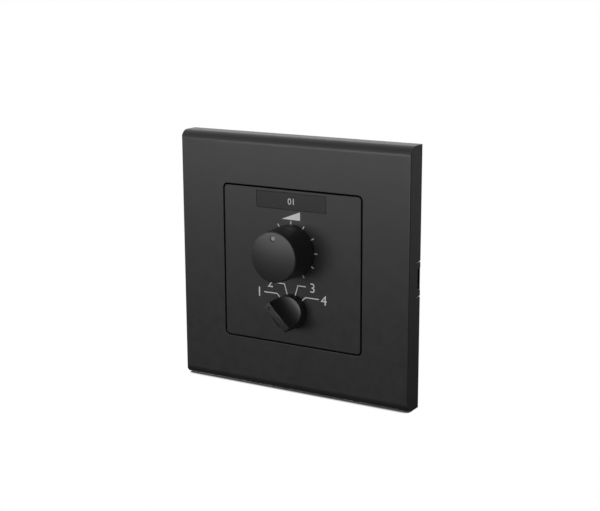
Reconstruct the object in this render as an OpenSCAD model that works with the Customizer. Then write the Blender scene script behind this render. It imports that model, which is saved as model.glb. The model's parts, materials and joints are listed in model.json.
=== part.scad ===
// Wall-mounted zone controller for an audio system: a square clip-on faceplate around a flush
// centre panel, which carries a volume knob and a four-position source selector. Behind it are
// the mounting frame, the two rotary controls and the terminal board that go into the wall box.
// Millimetres, +Z up, front towards -Y. The origin is midway between the two wall screws, on the
// wall plane.

/* [Faceplate] */
// Width of the faceplate
plate_w = 86; // [82:0.5:96]
// Height of the faceplate
plate_h = 86; // [82:0.5:96]
// Depth of the faceplate from the wall to its front
plate_depth = 8; // [7.6:0.1:10]
// Wall of the faceplate moulding
plate_wall = 2; // [1.6:0.1:2.2]
// Radius of the wide rounding along the top and bottom front edges
edge_r = 3.2; // [2.6:0.1:4]
// Radius of the fine rounding along the left and right front edges
side_edge_r = 0.4; // [0.2:0.1:0.8]
// Width of the line that shows between the faceplate and the centre panel
panel_gap = 0.5; // [0.3:0.05:0.8]
// Wall of the collar behind the faceplate's opening
collar_wall = 1.2; // [0.8:0.1:1.6]
// Depth of the collar and of the ribs behind the front wall
collar_depth = 1.2; // [0.8:0.1:1.4]
// Thickness of the ribs behind the front wall
plate_rib_t = 1.2; // [0.8:0.1:1.6]
// Distance from the centre line to each rib
plate_rib_offset = 16; // [12:0.5:20]

/* [Clip tabs] */
// Width of each flexible tab, between its two slits
tab_w = 11.4; // [10:0.1:13]
// Width of a slit
slit_w = 0.3; // [0.2:0.05:0.6]
// Length of a slit from the rear edge
slit_depth = 3; // [2.4:0.1:3.6]
// Width of the pry notch in a tab
notch_w = 7.2; // [6:0.1:8.5]
// Depth of the pry notch from the rear edge
notch_depth = 1.9; // [1.4:0.1:2]
// Thickness of the ledge of the mounting frame that lies in a pry notch
ledge_t = 0.4; // [0.3:0.1:0.8]
// Width of the hook on a tab
hook_w = 6; // [4:0.5:8]
// How far a hook stands in from the faceplate's wall
hook_reach = 0.8; // [0.6:0.1:1]
// Thickness of a hook where it meets the wall
hook_t = 1; // [0.8:0.1:1.2]
// Thickness of a hook at its blunt end
hook_face = 0.4; // [0.3:0.1:0.6]

/* [Centre panel] */
// Width and height of the centre panel
panel_w = 51.7; // [50:0.1:53]
// Thickness of the centre panel
panel_t = 2.2; // [2:0.1:2.6]
// Corner radius of the centre panel
panel_corner_r = 1.2; // [0.6:0.1:2]
// Distance from the panel's edge to its fixing posts
panel_post_inset = 5.4; // [5:0.1:7]
// Diameter of a fixing post
panel_post_d = 5; // [4.4:0.1:5.4]
// Width of the label window
label_w = 26.2; // [20:0.1:30]
// Height of the label window
label_h = 5.5; // [4:0.1:6]
// Height of the label window's centre above the panel's centre
label_y = 22.2; // [21:0.1:22.4]
// Thickness of the clear label window
label_window_t = 1; // [0.8:0.1:1.1]
// Thickness of the label card behind the window
label_card_t = 0.3; // [0.2:0.05:0.4]

/* [Knobs] */
// Height of the volume axis above the panel's centre
volume_y = 5.8; // [4.8:0.1:7]
// Height of the selector axis, below the panel's centre
selector_y = -14.6; // [-16:0.1:-13.5]
// Gap between the panel and the underside of a knob
knob_gap = 0.5; // [0.3:0.1:0.8]
// Wall of a knob
knob_wall = 1.3; // [1:0.1:1.6]
// Radius of the rounding round a knob's front
knob_edge_r = 0.5; // [0.3:0.1:0.8]
// Radius of the shallow dome of a knob's front
dome_r = 60; // [50:1:140]
// Radius of the volume knob at its base
volume_base_r = 8.8; // [8.5:0.1:9]
// Radius of the volume knob at its front
volume_front_r = 8.4; // [7.9:0.1:8.6]
// Height of the volume knob's front above the panel
volume_knob_h = 11.8; // [10:0.1:13]
// Outer diameter of the hub inside the volume knob
volume_hub_d = 9; // [8.6:0.1:10]
// Number of ribs between the hub and the skirt
volume_ribs = 6; // [4:1:8]
// Thickness of those ribs
volume_rib_t = 0.9; // [0.6:0.1:1.2]
// Height of those ribs
volume_rib_h = 6.2; // [4:0.1:7]
// Distance of the volume knob's dimple from its axis
volume_dimple_at = 6.3; // [5.8:0.1:6.6]
// Diameter of the volume knob's dimple
volume_dimple_d = 2; // [1.4:0.1:2.2]
// Radius of the selector knob at its base
selector_base_r = 5.85; // [5.6:0.05:6.2]
// Radius of the selector knob at its front
selector_front_r = 5.6; // [5.3:0.05:5.8]
// Height of the selector knob's front above the panel
selector_knob_h = 9.5; // [8.8:0.1:10.2]
// Width of the selector's grip bar
bar_w = 2.6; // [2.2:0.1:3]
// Radius of the finger scoop on each side of the grip bar
scoop_r = 5.6; // [5:0.1:6]
// Upright part of the grip bar's side, between its round top edge and the scoop
bar_side = 0.3; // [0.1:0.1:0.6]
// Outer diameter of the hub under the selector knob
selector_hub_d = 6.6; // [6.2:0.1:7]
// Distance of the selector knob's dimple from its axis
selector_dimple_at = 3.8; // [3.4:0.1:4.2]
// Diameter of the selector knob's dimple
selector_dimple_d = 1.3; // [1:0.1:1.6]
// Depth of a dimple
dimple_depth = 0.5; // [0.2:0.05:0.6]
// Plastic left between the end of the selector knob's bore and its scoops
bore_wall = 0.8; // [0.6:0.1:1]
// Angle between two neighbouring selector positions
selector_step = 30; // [30, 36, 45]

/* [Control hardware] */
// Diameter of the volume shaft
volume_shaft_d = 6; // [5.6:0.1:6]
// Depth of the flat on the volume shaft
volume_flat = 1.5; // [1:0.1:1.6]
// Diameter of the selector shaft
selector_shaft_d = 4; // [3.6:0.1:4.2]
// Depth of the flat on the selector shaft
selector_flat = 1; // [0.6:0.1:1.1]
// Outer diameter of a threaded bushing
bush_d = 7; // [6.9:0.1:7.4]
// Thread that stands out past the nut
bush_end = 0.4; // [0.2:0.1:0.6]
// Width across the flats of a nut
nut_af = 10; // [9:0.5:11]
// Thickness of a nut
nut_t = 2; // [1.6:0.1:2.2]
// Diameter of a washer
washer_d = 12; // [11:0.5:13]
// Thickness of a washer
washer_t = 0.5; // [0.4:0.1:0.6]
// Diameter of a retaining clip
clip_d = 8; // [7.6:0.1:8.4]
// Thickness of a retaining clip
clip_t = 0.5; // [0.4:0.1:0.6]
// Depth of the groove that a retaining clip sits in
groove_depth = 0.5; // [0.3:0.05:0.6]
// Diameter of a control's body
body_d = 17; // [16.4:0.1:17.6]
// Thickness of the flange behind a bushing
flange_t = 1.2; // [1:0.1:1.5]
// Width of the lug that keeps a control from turning
lug_w = 2.4; // [2:0.1:3]
// Thickness of that lug
lug_t = 1.2; // [1:0.1:1.4]
// Height of that lug above the flange
lug_h = 1.4; // [1.2:0.1:1.6]
// Distance from the control's axis to the lug
lug_at = 6.5; // [6.4:0.1:7]
// Thickness of a rotor inside a control
rotor_t = 2.2; // [1.8:0.1:2.4]
// Thickness of a sprung contact
contact_t = 0.3; // [0.2:0.05:0.4]
// Width of a sprung contact's finger at its foot
finger_d = 1.2; // [0.8:0.1:1.4]

/* [Volume control] */
// Depth of the volume control's can behind its flange
can_depth = 7; // [6.6:0.1:8]
// Sheet thickness of the can
can_wall = 0.5; // [0.4:0.1:0.7]
// Thickness of the disc that carries the resistive track
track_t = 1.2; // [1:0.1:1.4]
// Gap between the track and the rotor, where the wiper presses
wiper_gap = 1.4; // [1.2:0.1:1.6]
// Radius of the volume rotor
rotor_r = 6; // [5.6:0.1:6.2]
// Turn of the volume control to each side of its middle
volume_half_turn = 150; // [130:5:150]
// Distance between two neighbouring pins of the volume control
volume_pin_pitch = 5; // [4:0.1:5.08]
// Width of a pin of the volume control
volume_pin_w = 0.8; // [0.6:0.1:0.9]
// Sheet thickness of those pins
volume_pin_t = 0.5; // [0.4:0.05:0.6]
// Distance from the can to the bend of those pins
volume_pin_reach = 1.6; // [1.2:0.1:2]

/* [Selector switch] */
// Depth of the switch body behind its flange
switch_depth = 8.2; // [8:0.1:9]
// Wall of the switch body
switch_wall = 1.2; // [1:0.1:1.3]
// Thickness of the disc that carries the fixed contacts
stator_t = 1.2; // [1:0.1:1.4]
// Outer radius of the detent wheel
wheel_r = 5; // [4.6:0.1:5.2]
// Depth of a valley in the detent wheel
valley_depth = 0.6; // [0.4:0.1:0.7]
// Thickness of the detent wheel and width of its leaf spring
wheel_t = 2; // [1.6:0.1:2.2]
// Thickness of the leaf spring
leaf_t = 0.3; // [0.2:0.05:0.4]
// Distance from the axis to the fixed contacts
contact_at = 5.4; // [5.2:0.1:5.6]
// Distance from the axis to the middle of the common ring
common_at = 2.7; // [2.5:0.1:2.9]
// Width of the common ring
common_w = 1.2; // [0.8:0.1:1.4]
// Diameter of a contact rivet's head
rivet_head_d = 1.8; // [1.4:0.1:2]
// Diameter of a contact rivet's pin
rivet_d = 0.8; // [0.6:0.1:0.9]
// Width of the moving contact
moving_w = 1.4; // [1:0.1:1.6]

/* [Mounting frame] */
// Thickness of the mounting frame's floor
base_floor = 2; // [1.8:0.1:2.4]
// Wall round the mounting frame's edge
base_wall = 1.7; // [1.2:0.1:2]
// Wall of the square that the centre panel rests on
rest_wall = 1.2; // [1:0.1:1.5]
// How far that square stands in from the panel's edge
rest_inset = 0.6; // [0.4:0.1:0.8]
// Distance between the two wall screws
slot_pitch = 60.3; // [60:0.1:61]
// Width of a wall screw's slot
slot_w = 4; // [3.6:0.1:4.6]
// Length of a wall screw's slot
slot_l = 8; // [6:0.5:9]
// Room for the head of a wall screw
screw_head_room = 8; // [7:0.5:9]
// Diameter of the posts that carry the terminal board
board_post_d = 5; // [4.6:0.1:5.6]
// Depth of the pockets that core out the back of the floor
core_depth = 0.8; // [0.4:0.1:1]
// Ribs between those pockets
core_rib = 1.6; // [1.2:0.1:2.4]
// Number of pockets along the top and along the bottom
core_count = 3; // [2:1:5]

/* [Terminal board] */
// Width of the board
board_w = 40; // [38:0.5:42]
// Board above the volume axis
board_above = 14.4; // [13:0.1:15]
// Board below the selector axis
board_below = 9.4; // [9:0.1:10]
// Thickness of the board
board_t = 1.6; // [1.2:0.1:2]
// Cut at the board's two upper corners
board_cut_top = 6; // [4:0.5:7]
// Cut at the board's two lower corners
board_cut_low = 8; // [6:0.5:9]
// Distance from the board's side to its posts
board_post_inset = 4; // [3.6:0.1:5]
// Distance from the board's top to its upper posts
board_post_top = 7; // [6.5:0.1:8]
// Distance from the board's bottom to its lower posts
board_post_low = 11; // [10:0.1:12]
// Room between the switch body and the board
board_clear = 0.8; // [0.6:0.1:1.5]
// How far soldered pins stand out of the board
pin_out = 1.2; // [0.8:0.1:1.4]
// Diameter of the board's holes for soldered pins
pin_hole_d = 1.3; // [1.25:0.05:1.5]
// Diameter of the shank of a screw
screw_d = 2.2; // [2:0.1:2.4]
// Diameter of the head of a screw
screw_head_d = 4.2; // [3.8:0.1:4.6]
// Height of the head of a board screw
screw_head_h = 1.5; // [1.2:0.1:1.8]
// Length of the cross recess in a screw's head
cross_l = 2.2; // [1.8:0.1:2.6]
// Width of that recess
cross_w = 0.6; // [0.4:0.1:0.8]
// Depth of that recess
cross_depth = 0.6; // [0.4:0.1:0.8]

/* [Terminal block] */
// Number of wires that the block takes
ways = 5; // [4:1:5]
// Distance between two neighbouring wires
way_pitch = 5.08; // [5:0.02:5.2]
// Depth of the block along the wires
block_d = 8.5; // [8:0.1:9]
// Height of the block above the board
block_h = 10; // [9.6:0.1:11]
// How far the block lies above the middle between the two axes
block_up = 3; // [2.6:0.1:3.4]
// Width and height of a wire entry
entry_w = 3; // [2.6:0.1:3.2]
// Wall between two neighbouring cages and at the block's ends
block_wall = 1; // [0.8:0.1:1.2]
// Diameter of a terminal screw's head
clamp_head_d = 3.4; // [3:0.1:3.6]
// Diameter of a terminal screw's shank
clamp_screw_d = 2.4; // [2:0.1:2.6]
// Thickness of a cage's floor
cage_floor = 0.5; // [0.4:0.1:0.6]
// Thickness of a cage's threaded roof
cage_roof_t = 1.4; // [1:0.1:1.6]
// Diameter of a cage's pin
cage_pin_d = 1; // [0.8:0.1:1.1]
// Width of the slot in a terminal screw
clamp_slot_w = 0.6; // [0.4:0.1:0.8]

/* [Chips] */
// Length of a chip resistor or capacitor
chip_l = 3.2; // [2:0.1:3.4]
// Width of a chip
chip_w = 1.6; // [1.2:0.1:1.8]
// Room between a column of resistors and the head of a board screw
resistor_room = 1.1; // [0.6:0.1:2]
// Distance between two resistors of a column
resistor_pitch = 4.5; // [4:0.1:5]
// Distance of the capacitors from the centre line
capacitor_x = 9; // [8:0.5:11]
// Height of the capacitors above the volume axis
capacitor_up = 4.6; // [4:0.1:5.5]
// Height of a chip resistor
resistor_h = 0.6; // [0.5:0.05:0.7]
// Height of a chip capacitor
capacitor_h = 1.2; // [0.8:0.1:1.4]

/* [Fits] */
// Gap between the faceplate and the mounting frame
snap_gap = 0.3; // [0.2:0.05:0.4]
// Gap where one fixed piece seats in another
seat_gap = 0.1; // [0.05:0.01:0.15]
// Gap all round a turning shaft
run_gap = 0.05; // [0.03:0.01:0.08]
// Gap between a turning piece and a fixed one inside a control
turn_gap = 0.3; // [0.25:0.05:0.4]

/* [Hidden] */
$fn = 64;
// How far one solid runs into another that it is joined to, and how far a cut runs past a face
sink = 0.01;
past = 1;
// Straight steps in an arc of a section
arc_steps = 8;
// Half the angle of a rotor's stop lug and of a stop post, and the play before they meet
stop_lug_half = 14;
stop_post_half = 6;
stop_play = 2;

// Heights out of the wall: 0 is the wall plane, and what lies in the wall box is negative
plate_inside = plate_depth - plate_wall;
panel_back = plate_depth - panel_t;
inner_edge_r = max(edge_r - plate_wall, side_edge_r);
base_wall_top = plate_inside - collar_depth - snap_gap;
hook_z = base_floor + seat_gap;
bush_top = base_floor + washer_t + nut_t + bush_end;
clip_z = bush_top + run_gap;
hub_z = clip_z + clip_t + turn_gap;
track_back = -flange_t - track_t;
rotor_front = track_back - wiper_gap;
wheel_front = -flange_t - turn_gap;
carrier_front = wheel_front - wheel_t - turn_gap;
carrier_back = carrier_front - rotor_t;
switch_back = -flange_t - switch_depth;
stator_front = switch_back + stator_t;
board_front = switch_back - board_clear;
board_back = board_front - board_t;

// The shafts' ends inside their knobs: the selector's shaft stops short of the scoops
volume_bore_top = volume_knob_h - 1.5 * knob_wall;
volume_shaft_end = plate_depth + volume_bore_top - turn_gap;
scoop_x = bar_w / 2 + scoop_r;
scoop_z = selector_knob_h - knob_edge_r - bar_side;
scoop_low = scoop_z - scoop_r;
scoop_over_shaft = scoop_z - sqrt(scoop_r * scoop_r - pow(scoop_x - selector_shaft_d / 2 - run_gap, 2));
selector_bore_top = scoop_over_shaft - bore_wall;
selector_shaft_end = plate_depth + selector_bore_top - turn_gap;

// Sizes in the plane of the wall
base_w = plate_w - 2 * (plate_wall + snap_gap);
base_h = plate_h - 2 * (plate_wall + snap_gap);
rest_w = panel_w - 2 * rest_inset;
panel_post_at = panel_w / 2 - panel_post_inset;
shaft_hole_d = clip_d + 2 * turn_gap;
can_in_r = body_d / 2 - can_wall;
switch_in_r = body_d / 2 - switch_wall;
stator_r = switch_in_r + switch_wall / 2;
carrier_r = switch_in_r - 4 * turn_gap;
leaf_at = wheel_r + turn_gap;
leaf_half = sqrt(pow(switch_in_r - seat_gap, 2) - pow(leaf_at + leaf_t, 2));
selector_rest = 1.5 * selector_step;
board_top = volume_y + board_above;
board_low = selector_y - board_below;
post_x = board_w / 2 - board_post_inset;
board_post_ys = [board_top - board_post_top, board_low + board_post_low];
board_posts = [for (x = [-post_x, post_x], y = board_post_ys) [x, y]];
panel_posts = [for (x = [-1, 1], y = [-1, 1]) panel_post_at * [x, y]];
pin_bend_at = body_d / 2 + volume_pin_reach;
tongue_w = 2 * volume_pin_pitch + 3 * volume_pin_w;
volume_pin_xs = [for (i = [-1:1]) i * volume_pin_pitch];
contact_angles = [for (i = [0:3]) selector_rest - i * selector_step];

// The terminal block and its cages, as heights above the back of the board
block_y = (volume_y + selector_y) / 2 + block_up;
block_w = ways * way_pitch + block_wall;
cage_w = way_pitch - block_wall - 2 * seat_gap;
cage_d = block_d - 3 * block_wall;
cage_low = block_wall + seat_gap;
entry_low = cage_low + cage_floor;
cage_roof = entry_low + entry_w;
cage_top = cage_roof + cage_roof_t;
well_floor = cage_top + seat_gap + block_wall;
way_xs = [for (i = [0:ways - 1]) (i - (ways - 1) / 2) * way_pitch];
resistor_x = post_x - (screw_head_d + chip_w) / 2 - resistor_room;
resistor_spots = [for (x = [-1, 1], y = [-0.5, 0.5]) [x * resistor_x, selector_y + y * resistor_pitch]];
capacitor_spots = [for (x = [-1, 1]) [x * capacitor_x, volume_y + capacitor_up]];

// Points along an arc from angle a to angle b, without its first point where that is drawn already
function arc(centre, r, a, b, first = 0) =
    [for (i = [first:arc_steps])
        let (turn = a + (b - a) * i / arc_steps) centre + r * [cos(turn), sin(turn)]];

// How far the dome of a knob's front has fallen at a distance from the axis
function dome_fall(r) = dome_r - sqrt(dome_r * dome_r - r * r);

// Turns a piece drawn on the wall (x right, y up, z out of the wall) upright, facing -Y
module upright() {
    rotate([90, 0, 0]) children();
}

// Puts a piece on the volume axis, at a height out of the wall
module on_volume(z = 0) {
    upright() translate([0, volume_y, z]) children();
}

// Puts a piece on the selector axis, at a height out of the wall, turned where it turns with the knob
module on_selector(z = 0, turn = 0) {
    upright() translate([0, selector_y, z]) rotate(turn) children();
}

// A rectangle with round corners
module round_rectangle(w, h, r) {
    square([w - 2 * r, h], center = true);
    square([w, h - 2 * r], center = true);
    for (x = [-1, 1], y = [-1, 1])
        translate([x * (w / 2 - r), y * (h / 2 - r)]) circle(r);
}

// A section whose two front corners are round
module round_front(w, d, r) {
    translate([-w / 2, 0]) square([w, d - r]);
    translate([r - w / 2, 0]) square([w - 2 * r, d]);
    for (s = [-1, 1])
        translate([s * (w / 2 - r), d - r]) circle(r);
}

// A block with one rounding along its top and bottom front edges and another along its sides
module moulded_block(w, h, d, long_r, side_r) {
    intersection() {
        rotate([90, 0, 90]) linear_extrude(w + past, center = true) round_front(h, d, long_r);
        rotate([90, 0, 0]) linear_extrude(h + past, center = true) round_front(w, d, side_r);
    }
}

// A round section with a flat of stated depth on one side, and a gap round it where it is a bore
module d_section(d, flat, gap = 0) {
    difference() {
        circle(d = d + 2 * gap);
        translate([d / 2 - flat + gap, -d]) square([d, 2 * d]);
    }
}

// Half the section of a round knob: a tapered side, a rounded edge and a domed front
module knob_section(base_r, front_r, z0, z1) {
    tilt = atan((base_r - front_r) / (z1 - z0));
    rim_z = z1 - dome_fall(front_r) - knob_edge_r;
    r = base_r - tan(tilt) * (rim_z - z0) - knob_edge_r / cos(tilt);
    lean = asin(r / (dome_r - knob_edge_r));
    z = z1 - dome_r + (dome_r - knob_edge_r) * cos(lean);
    polygon(concat([[0, z0], [base_r, z0]], arc([r, z], knob_edge_r, tilt, 90 - lean),
        arc([0, z1 - dome_r], dome_r, 90 - lean, 90, 1)));
}

// A shallow round dimple at a distance from the axis, in a knob's front of height z
module dimple(d, at, z) {
    r = (d * d / 4 + dimple_depth * dimple_depth) / (2 * dimple_depth);
    translate([0, at, z - dome_fall(at) + r - dimple_depth]) sphere(r);
}

// A straight rib, lug or cut of stated size, from its lower corner
module bar(x, y, z, size) {
    translate([x, y, z]) cube(size);
}

module faceplate_frame() color("#2d2d2f") upright() {
    opening = panel_w + 2 * panel_gap;
    collar_w = opening + 2 * collar_wall;
    rib_z = plate_inside - collar_depth;
    difference() {
        union() {
            difference() {
                moulded_block(plate_w, plate_h, plate_depth, edge_r, side_edge_r);
                translate([0, 0, -past])
                    moulded_block(plate_w - 2 * plate_wall, plate_h - 2 * plate_wall, plate_inside + past,
                        inner_edge_r, side_edge_r);
            }
            translate([0, 0, rib_z]) linear_extrude(collar_depth + plate_wall / 2)
                round_rectangle(collar_w, collar_w, panel_corner_r + panel_gap + collar_wall);
            for (s = [-1, 1]) {
                rib_w = plate_w - plate_wall;
                rib_h = plate_h - plate_wall;
                offset_y = s * plate_rib_offset - plate_rib_t / 2;
                bar(-rib_w / 2, offset_y, rib_z, [rib_w, plate_rib_t, collar_depth + plate_wall / 2]);
                bar(offset_y, -rib_h / 2, rib_z, [plate_rib_t, rib_h, collar_depth + plate_wall / 2]);
            }
        }
        translate([0, 0, -past]) linear_extrude(plate_depth + 2 * past)
            round_rectangle(opening, opening, panel_corner_r + panel_gap);
        for (side = [0, 1]) mirror([side, 0, 0]) {
            wall_x = plate_w / 2 - plate_wall - past;
            for (s = [-1, 1])
                bar(wall_x, s * tab_w / 2 - slit_w / 2, -past,
                    [plate_wall + 2 * past, slit_w, slit_depth + past]);
            bar(wall_x, -notch_w / 2, -past, [plate_wall + 2 * past, notch_w, notch_depth + past]);
        }
    }
    for (side = [0, 1]) mirror([side, 0, 0]) {
        x = plate_w / 2 - plate_wall;
        rotate([90, 0, 0]) linear_extrude(hook_w, center = true)
            polygon([[x + plate_wall / 2, hook_z], [x - hook_reach, hook_z],
                [x - hook_reach, hook_z + hook_face], [x, hook_z + hook_t],
                [x + plate_wall / 2, hook_z + hook_t]]);
    }
}

module centre_panel() color("#2b2b2d") upright() {
    pocket_t = label_window_t + label_card_t;
    difference() {
        union() {
            translate([0, 0, panel_back]) linear_extrude(panel_t)
                round_rectangle(panel_w, panel_w, panel_corner_r);
            for (at = panel_posts) translate([at.x, at.y, base_floor])
                cylinder(d = panel_post_d, h = panel_back - base_floor + panel_t / 2);
        }
        for (y = [volume_y, selector_y])
            translate([0, y, panel_back - past]) cylinder(d = shaft_hole_d, h = panel_t + 2 * past);
        translate([0, label_y, plate_depth - pocket_t]) linear_extrude(pocket_t + past)
            square([label_w + 2 * seat_gap, label_h + 2 * seat_gap], center = true);
        for (at = panel_posts) translate([at.x, at.y, base_floor - past])
            cylinder(d = screw_d + 2 * run_gap, h = panel_back - base_floor + panel_t / 2 + past);
    }
}

module label_window() color("#3a3c3f", 0.6) upright() {
    translate([0, label_y, plate_depth - label_window_t]) linear_extrude(label_window_t)
        square([label_w, label_h], center = true);
}

module label_card() color("#1f2022") upright() {
    translate([0, label_y, plate_depth - label_window_t - label_card_t]) linear_extrude(label_card_t)
        square([label_w, label_h], center = true);
}

// The slot of a wall screw, or the room above it for the screw's head
module wall_slot(w) {
    reach = (slot_l - slot_w) / 2;
    square([2 * reach, w], center = true);
    for (s = [-1, 1]) translate([s * reach, 0]) circle(d = w);
}

module mounting_frame() color("#343436") upright() {
    window_h = hook_t + 2 * seat_gap + snap_gap;
    difference() {
        union() {
            linear_extrude(base_floor) round_rectangle(base_w, base_h, panel_corner_r);
            linear_extrude(base_wall_top) difference() {
                round_rectangle(base_w, base_h, panel_corner_r);
                square([base_w - 2 * base_wall, base_h - 2 * base_wall], center = true);
            }
            linear_extrude(panel_back) difference() {
                square(rest_w, center = true);
                square(rest_w - 2 * rest_wall, center = true);
            }
            for (at = board_posts) translate([at.x, at.y, board_front])
                cylinder(d = board_post_d, h = base_floor / 2 - board_front);
            linear_extrude(ledge_t)
                square([plate_w - 2 * seat_gap, notch_w - 2 * seat_gap], center = true);
        }
        for (s = [-1, 1]) translate([s * slot_pitch / 2, 0, 0]) {
            translate([0, 0, -past]) linear_extrude(base_floor + 2 * past) wall_slot(slot_w);
            translate([0, 0, base_floor]) linear_extrude(plate_depth) wall_slot(screw_head_room);
        }
        for (side = [0, 1]) mirror([side, 0, 0])
            bar(base_w / 2 - base_wall - past, -hook_w / 2 - snap_gap, base_floor,
                [base_wall + 2 * past, hook_w + 2 * snap_gap, window_h]);
        for (y = [volume_y, selector_y]) {
            translate([0, y, -past]) cylinder(d = bush_d + 2 * seat_gap, h = base_floor + 2 * past);
            bar(-lug_w / 2 - seat_gap, y + lug_at - seat_gap, -past,
                [lug_w + 2 * seat_gap, lug_t + 2 * seat_gap, base_floor + 2 * past]);
        }
        for (at = panel_posts) translate([at.x, at.y, 0]) {
            translate([0, 0, -past]) cylinder(d = screw_d + 2 * seat_gap, h = base_floor + 2 * past);
            countersink(seat_gap);
        }
        for (at = board_posts) translate([at.x, at.y, board_front - past])
            cylinder(d = screw_d + 2 * run_gap, h = past + base_floor / 2 - board_front);
        core_pockets();
    }
}

// Shallow pockets in the back of the floor, between the panel's square and the edge wall
module core_pockets() {
    in = rest_w / 2 + core_rib / 2;
    right = base_w / 2 - base_wall - core_rib / 2;
    top = base_h / 2 - base_wall - core_rib / 2;
    pocket_w = (2 * in - (core_count + 1) * core_rib) / core_count;
    slot_room = screw_head_room / 2 + core_rib;
    for (x = [0, 1], y = [0, 1]) mirror([x, 0, 0]) mirror([0, y, 0]) {
        bar(in, in, -past, [right - in, top - in, core_depth + past]);
        bar(in, slot_room, -past, [right - in, in - core_rib - slot_room, core_depth + past]);
    }
    for (y = [0, 1]) mirror([0, y, 0])
        for (i = [0:core_count - 1])
            bar(core_rib - in + i * (pocket_w + core_rib), in, -past,
                [pocket_w, top - in, core_depth + past]);
}

// The cone of a countersunk head that lies flush with the wall plane, and a fit round it
module countersink(gap) {
    cone_h = (screw_head_d - screw_d) / 2;
    translate([0, 0, -past])
        cylinder(d1 = screw_head_d + 2 * (gap + past), d2 = screw_d + 2 * gap, h = cone_h + past);
}

module panel_screws() color("#8d9095") upright() {
    for (at = panel_posts) translate([at.x, at.y, 0]) difference() {
        union() {
            cylinder(d = screw_d, h = panel_back);
            intersection() {
                countersink(0);
                cylinder(d = screw_head_d + past, h = base_floor);
            }
        }
        cross_recess();
    }
}

// The cross recess in the head of a screw whose head faces the wall
module cross_recess() {
    for (turn = [0, 90]) rotate(turn)
        translate([0, 0, -past]) linear_extrude(past + cross_depth)
            square([cross_l, cross_w], center = true);
}

module volume_knob() color("#262628") on_volume(plate_depth) {
    cavity_r = volume_front_r - knob_wall;
    cavity_top = volume_knob_h - knob_wall;
    rib_l = cavity_r - volume_hub_d / 2 + knob_wall;
    rib_low = cavity_top - volume_rib_h;
    difference() {
        union() {
            difference() {
                rotate_extrude() knob_section(volume_base_r, volume_front_r, knob_gap, volume_knob_h);
                cylinder(r = cavity_r, h = cavity_top);
            }
            translate([0, 0, knob_gap])
                cylinder(d = volume_hub_d, h = cavity_top - knob_gap + knob_wall / 2);
            for (i = [0:volume_ribs - 1]) rotate((i + 0.5) * 360 / volume_ribs)
                bar(volume_hub_d / 2 - knob_wall / 2, -volume_rib_t / 2, rib_low,
                    [rib_l, volume_rib_t, volume_rib_h + knob_wall / 2]);
        }
        linear_extrude(volume_bore_top) d_section(volume_shaft_d, volume_flat, run_gap);
        dimple(volume_dimple_d, volume_dimple_at, volume_knob_h);
    }
}

// What a finger scoop takes away beside the grip bar: the scoop, the upright side above it and what
// lies round the bar's top edge
module scoop() {
    far = 2 * selector_base_r;
    rotate([90, 0, 0]) linear_extrude(2 * far, center = true) {
        translate([scoop_x, scoop_z]) circle(scoop_r);
        translate([scoop_x, scoop_low]) square([far, scoop_r]);
        translate([bar_w / 2, scoop_z]) square([far, bar_side]);
        translate([bar_w / 2 - knob_edge_r, scoop_z + bar_side]) difference() {
            square([far, knob_edge_r + past]);
            circle(knob_edge_r);
        }
    }
}

module selector_knob() color("#262628") on_selector(plate_depth, selector_rest) {
    hub_low = hub_z - plate_depth;
    difference() {
        union() {
            rotate_extrude() knob_section(selector_base_r, selector_front_r, knob_gap, selector_knob_h);
            translate([0, 0, hub_low]) cylinder(d = selector_hub_d, h = knob_gap + scoop_low / 2 - hub_low);
        }
        for (turn = [0, 180]) rotate(turn) scoop();
        translate([0, 0, hub_low - past]) linear_extrude(selector_bore_top - hub_low + past)
            d_section(selector_shaft_d, selector_flat, run_gap);
        dimple(selector_dimple_d, selector_dimple_at, selector_knob_h);
    }
}

// A shaft along a control's axis: round in its bushing, grooved for its clip and flat-sided at
// both ends, where it drives the knob and the rotor
module shaft(d, flat, low, flat_low, flat_high, end) {
    difference() {
        union() {
            translate([0, 0, low]) linear_extrude(end - low) d_section(d, flat);
            translate([0, 0, flat_low]) cylinder(d = d, h = flat_high - flat_low);
        }
        translate([0, 0, clip_z - run_gap]) difference() {
            cylinder(d = d + past, h = clip_t + 2 * run_gap);
            translate([0, 0, -past]) cylinder(d = d - 2 * groove_depth, h = clip_t + 2 * past);
        }
    }
}

// A retaining clip: a flat ring with a gap, sprung into the groove of a shaft
module retaining_clip(shaft_d) {
    mouth_w = shaft_d - 4 * groove_depth;
    translate([0, 0, clip_z]) linear_extrude(clip_t) difference() {
        circle(d = clip_d);
        circle(d = shaft_d - 2 * groove_depth + 2 * run_gap);
        translate([0, -clip_d / 2]) square([mouth_w, clip_d], center = true);
    }
}

// A threaded bushing with the flange that closes a control's body and the lug that stops it turning
module bushing(shaft_d) {
    difference() {
        union() {
            cylinder(d = bush_d, h = bush_top);
            translate([0, 0, -flange_t]) cylinder(d = body_d, h = flange_t);
            bar(-lug_w / 2, lug_at, -flange_t / 2, [lug_w, lug_t, flange_t / 2 + lug_h]);
        }
        translate([0, 0, -flange_t - past])
            cylinder(d = shaft_d + 2 * run_gap, h = flange_t + bush_top + 2 * past);
    }
}

module washer() {
    translate([0, 0, base_floor]) difference() {
        cylinder(d = washer_d, h = washer_t);
        translate([0, 0, -past]) cylinder(d = bush_d + 2 * seat_gap, h = washer_t + 2 * past);
    }
}

module nut() {
    translate([0, 0, base_floor + washer_t]) difference() {
        cylinder(d = nut_af / cos(30), h = nut_t, $fn = 6);
        translate([0, 0, -past]) cylinder(d = bush_d + 2 * run_gap, h = nut_t + 2 * past);
    }
}

module volume_shaft() color("#b9bcc0") on_volume()
    shaft(volume_shaft_d, volume_flat, rotor_front - rotor_t, rotor_front, plate_depth + knob_gap,
        volume_shaft_end);

module volume_clip() color("#7c7f84") on_volume() retaining_clip(volume_shaft_d);

module volume_nut() color("#c4c6c9") on_volume() nut();

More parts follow.
